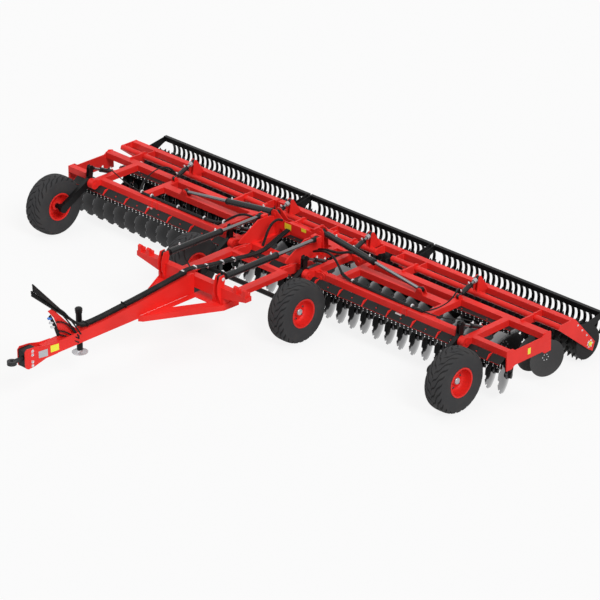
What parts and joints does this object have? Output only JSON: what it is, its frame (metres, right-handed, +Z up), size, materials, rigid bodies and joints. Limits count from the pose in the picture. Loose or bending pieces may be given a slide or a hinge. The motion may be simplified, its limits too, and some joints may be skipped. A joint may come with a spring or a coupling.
{
  "type": "folding disc harrow",
  "caption": "Wide trailed disc harrow with folding wings, transport wheels, rear ring roller with scraper tines, a long drawbar and hydraulic cylinders.",
  "frame": {"origin": "middle of the machine's footprint on the ground, halfway between the towing eye's front and the rearmost tine", "axes": "X across the machine, Y from the drawbar to the rear roller, Z up"},
  "size_m": [9.402, 7.51, 1.9327],
  "materials": {
    "red_paint": "gloss red paint",
    "black_paint": "satin black paint",
    "disc_steel": "dark grey painted and heat treated steel",
    "tyre": "black tyre rubber",
    "rim": "gloss red paint",
    "barrel_paint": "satin black paint",
    "rod_chrome": "hard chrome plated steel",
    "hose_rubber": "black hydraulic hose",
    "eye_iron": "forged black iron",
    "leg_steel": "black painted steel"
  },
  "bodies": {
    "machine": {"centre_frame": "red_paint", "mast": "red_paint", "centre_disc_arms": "black_paint", "centre_discs": "disc_steel"},
    "left_wing": {"left_wing_frame": "red_paint", "left_disc_arms": "black_paint", "left_discs": "disc_steel"},
    "right_wing": {"right_wing_frame": "red_paint", "right_disc_arms": "black_paint", "right_discs": "disc_steel"},
    "drawbar": {"drawbar_beam": "red_paint", "drawbar_frame": "red_paint", "hitch_block": "black_paint", "towing_eye": "eye_iron", "jack_tube": "black_paint", "hose_rack": "red_paint", "drawbar_hoses": "hose_rubber"},
    "jack_leg": {"jack_leg": "leg_steel"},
    "left_wheel_arm": {"left_wheel_arm": "black_paint"},
    "centre_wheel_arms": {"centre_wheel_arms": "black_paint"},
    "right_wheel_arm": {"right_wheel_arm": "black_paint"},
    "left_wheel": {"left_tyre": "tyre", "left_rim": "rim"},
    "centre_left_wheel": {"centre_left_tyre": "tyre", "centre_left_rim": "rim"},
    "centre_right_wheel": {"centre_right_tyre": "tyre", "centre_right_rim": "rim"},
    "right_wheel": {"right_tyre": "tyre", "right_rim": "rim"},
    "left_roller_frame": {"left_roller_frame": "red_paint", "left_scraper": "black_paint"},
    "left_roller": {"left_roller": "black_paint"},
    "centre_roller_frame": {"centre_roller_frame": "red_paint", "centre_scraper": "black_paint"},
    "centre_roller": {"centre_roller": "black_paint"},
    "right_roller_frame": {"right_roller_frame": "red_paint", "right_scraper": "black_paint"},
    "right_roller": {"right_roller": "black_paint"},
    "left_fold_barrel": {"left_fold_barrel": "barrel_paint"},
    "left_fold_rod": {"left_fold_rod": "rod_chrome"},
    "right_fold_barrel": {"right_fold_barrel": "barrel_paint"},
    "right_fold_rod": {"right_fold_rod": "rod_chrome"},
    "drawbar_barrel": {"drawbar_barrel": "barrel_paint"},
    "drawbar_rod": {"drawbar_rod": "rod_chrome"},
    "left_wheel_barrel": {"left_wheel_barrel": "barrel_paint"},
    "left_wheel_rod": {"left_wheel_rod": "rod_chrome"},
    "right_wheel_barrel": {"right_wheel_barrel": "barrel_paint"},
    "right_wheel_rod": {"right_wheel_rod": "rod_chrome"},
    "centre_wheel_barrel": {"centre_wheel_barrel": "barrel_paint"},
    "centre_wheel_rod": {"centre_wheel_rod": "rod_chrome"},
    "left_depth_barrel": {"left_depth_barrel": "barrel_paint"},
    "left_depth_rod": {"left_depth_rod": "rod_chrome"},
    "right_depth_barrel": {"right_depth_barrel": "barrel_paint"},
    "right_depth_rod": {"right_depth_rod": "rod_chrome"},
    "centre_depth_barrel": {"centre_depth_barrel": "barrel_paint"},
    "centre_depth_rod": {"centre_depth_rod": "rod_chrome"}
  },
  "joints": [
    {"name": "drawbar_tilt", "type": "hinge", "parent": "machine", "child": "drawbar", "pos_m": [0, 1.395, 0.77], "axis": [-1, 0, 0], "range_deg": [0, 8]},
    {"name": "left_fold", "type": "hinge", "parent": "machine", "child": "left_wing", "pos_m": [-1, 2, 0.742], "axis": [0, 1, 0], "range_deg": [0, 90]},
    {"name": "right_fold", "type": "hinge", "parent": "machine", "child": "right_wing", "pos_m": [1, 2, 0.742], "axis": [0, -1, 0], "range_deg": [0, 90]},
    {"name": "left_wheel_lift", "type": "hinge", "parent": "left_wing", "child": "left_wheel_arm", "pos_m": [-4.075, 1.395, 0.77], "axis": [-1, 0, 0], "range_deg": [0, 19]},
    {"name": "right_wheel_lift", "type": "hinge", "parent": "right_wing", "child": "right_wheel_arm", "pos_m": [3.875, 1.395, 0.77], "axis": [-1, 0, 0], "range_deg": [0, 19]},
    {"name": "centre_wheel_lift", "type": "hinge", "parent": "machine", "child": "centre_wheel_arms", "pos_m": [0, 1.395, 0.77], "axis": [-1, 0, 0], "range_deg": [0, 16]},
    {"name": "left_wheel_spin", "type": "hinge", "parent": "left_wheel_arm", "child": "left_wheel", "pos_m": [-4.3, 0.835, 0.487], "axis": [1, 0, 0], "continuous": true},
    {"name": "centre_left_wheel_spin", "type": "hinge", "parent": "centre_wheel_arms", "child": "centre_left_wheel", "pos_m": [-1.15, 0.835, 0.487], "axis": [1, 0, 0], "continuous": true},
    {"name": "centre_right_wheel_spin", "type": "hinge", "parent": "centre_wheel_arms", "child": "centre_right_wheel", "pos_m": [1.15, 0.835, 0.487], "axis": [1, 0, 0], "continuous": true},
    {"name": "right_wheel_spin", "type": "hinge", "parent": "right_wheel_arm", "child": "right_wheel", "pos_m": [4.3, 0.835, 0.487], "axis": [1, 0, 0], "continuous": true},
    {"name": "left_roller_depth", "type": "hinge", "parent": "left_wing", "child": "left_roller_frame", "pos_m": [-3.0245, 2.685, 0.787], "axis": [1, 0, 0], "range_deg": [0, 12]},
    {"name": "left_roller_spin", "type": "hinge", "parent": "left_roller_frame", "child": "left_roller", "pos_m": [-3.0245, 3.352, 0.3], "axis": [1, 0, 0], "continuous": true},
    {"name": "centre_roller_depth", "type": "hinge", "parent": "machine", "child": "centre_roller_frame", "pos_m": [0, 2.685, 0.787], "axis": [1, 0, 0], "range_deg": [0, 12]},
    {"name": "centre_roller_spin", "type": "hinge", "parent": "centre_roller_frame", "child": "centre_roller", "pos_m": [0, 3.352, 0.3], "axis": [1, 0, 0], "continuous": true},
    {"name": "right_roller_depth", "type": "hinge", "parent": "right_wing", "child": "right_roller_frame", "pos_m": [3.0245, 2.685, 0.787], "axis": [1, 0, 0], "range_deg": [0, 12]},
    {"name": "right_roller_spin", "type": "hinge", "parent": "right_roller_frame", "child": "right_roller", "pos_m": [3.0245, 3.352, 0.3], "axis": [1, 0, 0], "continuous": true},
    {"name": "jack_leg_slide", "type": "slide", "parent": "drawbar", "child": "jack_leg", "axis": [0, 0, -1], "range_m": [0, 0.44]},
    {"name": "left_fold_barrel_pivot", "type": "hinge", "parent": "machine", "child": "left_fold_barrel", "pos_m": [-0.49, 2.055, 1.161], "axis": [0, 1, 0], "range_deg": [0, 79.24]},
    {"name": "left_fold_rod_slide", "type": "slide", "parent": "left_fold_barrel", "child": "left_fold_rod", "axis": [-0.9905, 0, -0.1377], "range_m": [-0.8871, 0]},
    {"name": "right_fold_barrel_pivot", "type": "hinge", "parent": "machine", "child": "right_fold_barrel", "pos_m": [0.49, 2.055, 1.161], "axis": [0, -1, 0], "range_deg": [0, 79.24]},
    {"name": "right_fold_rod_slide", "type": "slide", "parent": "right_fold_barrel", "child": "right_fold_rod", "axis": [0.9905, 0, -0.1377], "range_m": [-0.8871, 0]},
    {"name": "drawbar_barrel_pivot", "type": "hinge", "parent": "drawbar", "child": "drawbar_barrel", "pos_m": [0, -0.18, 1.176], "axis": [1, 0, 0], "range_deg": [0, 1.6]},
    {"name": "drawbar_rod_slide", "type": "slide", "parent": "drawbar_barrel", "child": "drawbar_rod", "axis": [0, 0.9999, -0.0105], "range_m": [-0.0569, 0]},
    {"name": "left_wheel_barrel_pivot", "type": "hinge", "parent": "left_wing", "child": "left_wheel_barrel", "pos_m": [-4.075, 1.905, 0.78], "axis": [-1, 0, 0], "range_deg": [0, 1.82]},
    {"name": "left_wheel_rod_slide", "type": "slide", "parent": "left_wheel_barrel", "child": "left_wheel_rod", "axis": [0, -0.9018, 0.4321], "range_m": [-0.0787, 0]},
    {"name": "right_wheel_barrel_pivot", "type": "hinge", "parent": "right_wing", "child": "right_wheel_barrel", "pos_m": [3.875, 1.905, 0.78], "axis": [-1, 0, 0], "range_deg": [0, 1.82]},
    {"name": "right_wheel_rod_slide", "type": "slide", "parent": "right_wheel_barrel", "child": "right_wheel_rod", "axis": [0, -0.9018, 0.4321], "range_m": [-0.0787, 0]},
    {"name": "centre_wheel_barrel_pivot", "type": "hinge", "parent": "machine", "child": "centre_wheel_barrel", "pos_m": [0, 1.905, 0.78], "axis": [-1, 0, 0], "range_deg": [0, 1.53]},
    {"name": "centre_wheel_rod_slide", "type": "slide", "parent": "centre_wheel_barrel", "child": "centre_wheel_rod", "axis": [0, -0.9018, 0.4321], "range_m": [-0.0663, 0]},
    {"name": "left_depth_barrel_pivot", "type": "hinge", "parent": "left_wing", "child": "left_depth_barrel", "pos_m": [-3.047, 2.298, 0.862], "axis": [1, 0, 0], "range_deg": [0, 3.09]},
    {"name": "left_depth_rod_slide", "type": "slide", "parent": "left_depth_barrel", "child": "left_depth_rod", "axis": [0, 0.9304, 0.3665], "range_m": [-0.0458, 0]},
    {"name": "right_depth_barrel_pivot", "type": "hinge", "parent": "right_wing", "child": "right_depth_barrel", "pos_m": [3.047, 2.298, 0.862], "axis": [1, 0, 0], "range_deg": [0, 3.09]},
    {"name": "right_depth_rod_slide", "type": "slide", "parent": "right_depth_barrel", "child": "right_depth_rod", "axis": [0, 0.9304, 0.3665], "range_m": [-0.0458, 0]},
    {"name": "centre_depth_barrel_pivot", "type": "hinge", "parent": "machine", "child": "centre_depth_barrel", "pos_m": [0, 2.298, 0.862], "axis": [1, 0, 0], "range_deg": [0, 3.09]},
    {"name": "centre_depth_rod_slide", "type": "slide", "parent": "centre_depth_barrel", "child": "centre_depth_rod", "axis": [0, 0.9304, 0.3665], "range_m": [-0.0458, 0]}
  ],
  "couplings": [
    {"joint": "left_fold_barrel_pivot", "follows": "left_fold", "ratio": 0.88038},
    {"joint": "left_fold_rod_slide", "follows": "left_fold", "m_per_rad": -0.56472},
    {"joint": "right_fold_barrel_pivot", "follows": "right_fold", "ratio": 0.88038},
    {"joint": "right_fold_rod_slide", "follows": "right_fold", "m_per_rad": -0.56472},
    {"joint": "drawbar_barrel_pivot", "follows": "drawbar_tilt", "ratio": 0.19915},
    {"joint": "drawbar_rod_slide", "follows": "drawbar_tilt", "m_per_rad": -0.40749},
    {"joint": "left_wheel_barrel_pivot", "follows": "left_wheel_lift", "ratio": 0.09527},
    {"joint": "left_wheel_rod_slide", "follows": "left_wheel_lift", "m_per_rad": -0.2373},
    {"joint": "right_wheel_barrel_pivot", "follows": "right_wheel_lift", "ratio": 0.09527},
    {"joint": "right_wheel_rod_slide", "follows": "right_wheel_lift", "m_per_rad": -0.2373},
    {"joint": "centre_wheel_barrel_pivot", "follows": "centre_wheel_lift", "ratio": 0.09527},
    {"joint": "centre_wheel_rod_slide", "follows": "centre_wheel_lift", "m_per_rad": -0.2373},
    {"joint": "left_depth_barrel_pivot", "follows": "left_roller_depth", "ratio": 0.25694},
    {"joint": "left_depth_rod_slide", "follows": "left_roller_depth", "m_per_rad": -0.21847},
    {"joint": "right_depth_barrel_pivot", "follows": "right_roller_depth", "ratio": 0.25694},
    {"joint": "right_depth_rod_slide", "follows": "right_roller_depth", "m_per_rad": -0.21847},
    {"joint": "centre_depth_barrel_pivot", "follows": "centre_roller_depth", "ratio": 0.25694},
    {"joint": "centre_depth_rod_slide", "follows": "centre_roller_depth", "m_per_rad": -0.21847}
  ]
}
